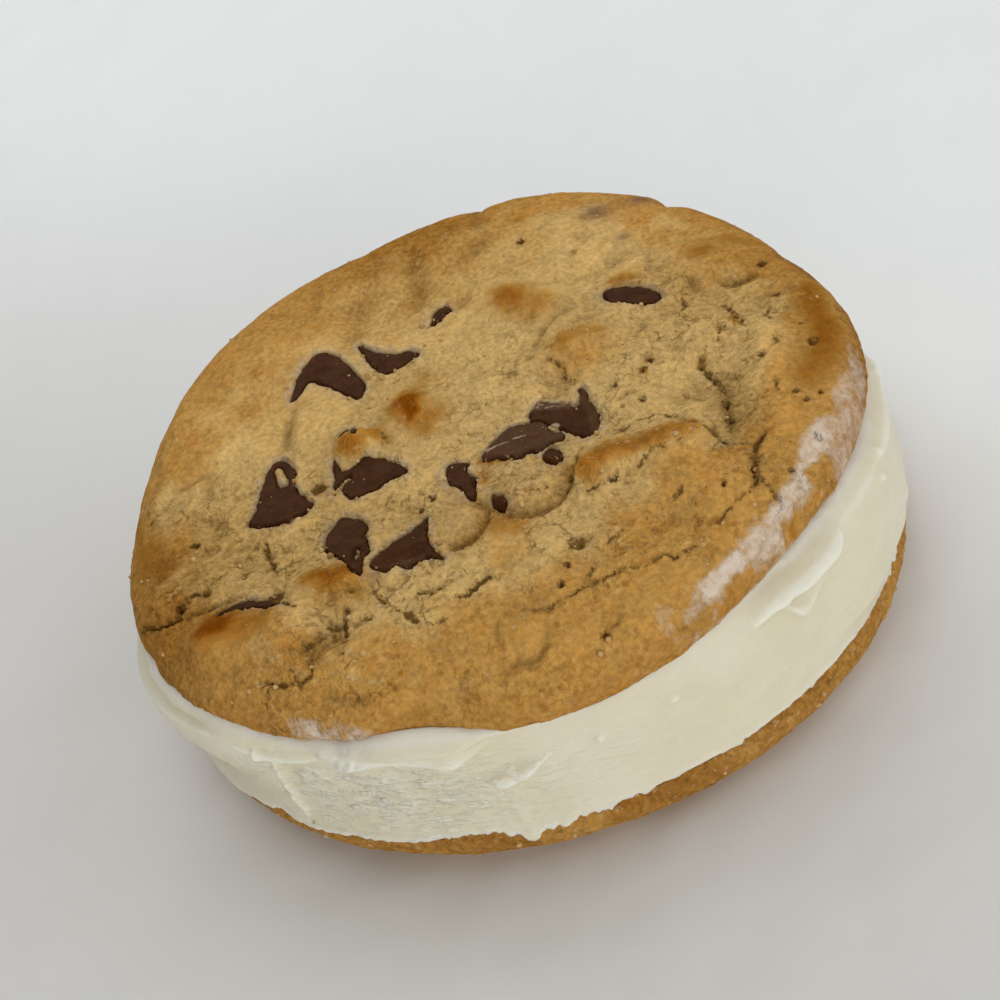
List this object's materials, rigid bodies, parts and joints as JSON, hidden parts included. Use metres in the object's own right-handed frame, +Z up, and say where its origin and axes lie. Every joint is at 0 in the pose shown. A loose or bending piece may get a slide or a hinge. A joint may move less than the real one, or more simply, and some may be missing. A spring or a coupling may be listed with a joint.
{
  "type": "custard sandwich cookie",
  "caption": "Round sandwich cookie: a thick disc of frozen custard between the flat sides of chocolate chip cookies, with chips set in their domed faces.",
  "frame": {"origin": "middle of the part's footprint, on the surface that the lower cookie lies on", "axes": "+Z up, through the cookies and the custard; -Y is the front, which the picture looks at from above"},
  "size_m": [0.1098, 0.0986, 0.0362],
  "materials": {
    "dough": "baked cookie dough, matt and crumbly, golden brown with darker browned spots and rim",
    "custard": "frozen vanilla custard, pale cream, smooth and softly moist",
    "chocolate": "dark chocolate, semi-gloss with a faint bloom"
  },
  "bodies": {
    "root": {"chip_lower_01": "chocolate", "chip_lower_02": "chocolate", "chip_lower_03": "chocolate", "chip_lower_04": "chocolate", "chip_lower_05": "chocolate", "chip_lower_06": "chocolate", "chip_lower_07": "chocolate", "chip_lower_08": "chocolate", "chip_upper_01": "chocolate", "chip_upper_02": "chocolate", "chip_upper_03": "chocolate", "chip_upper_04": "chocolate", "chip_upper_05": "chocolate", "chip_upper_06": "chocolate", "chip_upper_07": "chocolate", "chip_upper_08": "chocolate", "chip_upper_09": "chocolate", "chip_upper_10": "chocolate", "chip_upper_11": "chocolate", "chip_upper_12": "chocolate", "chip_upper_13": "chocolate", "chip_upper_14": "chocolate", "chip_upper_15": "chocolate", "cookie_lower": "dough", "cookie_upper": "dough", "custard": "custard"}
  },
  "joints": []
}
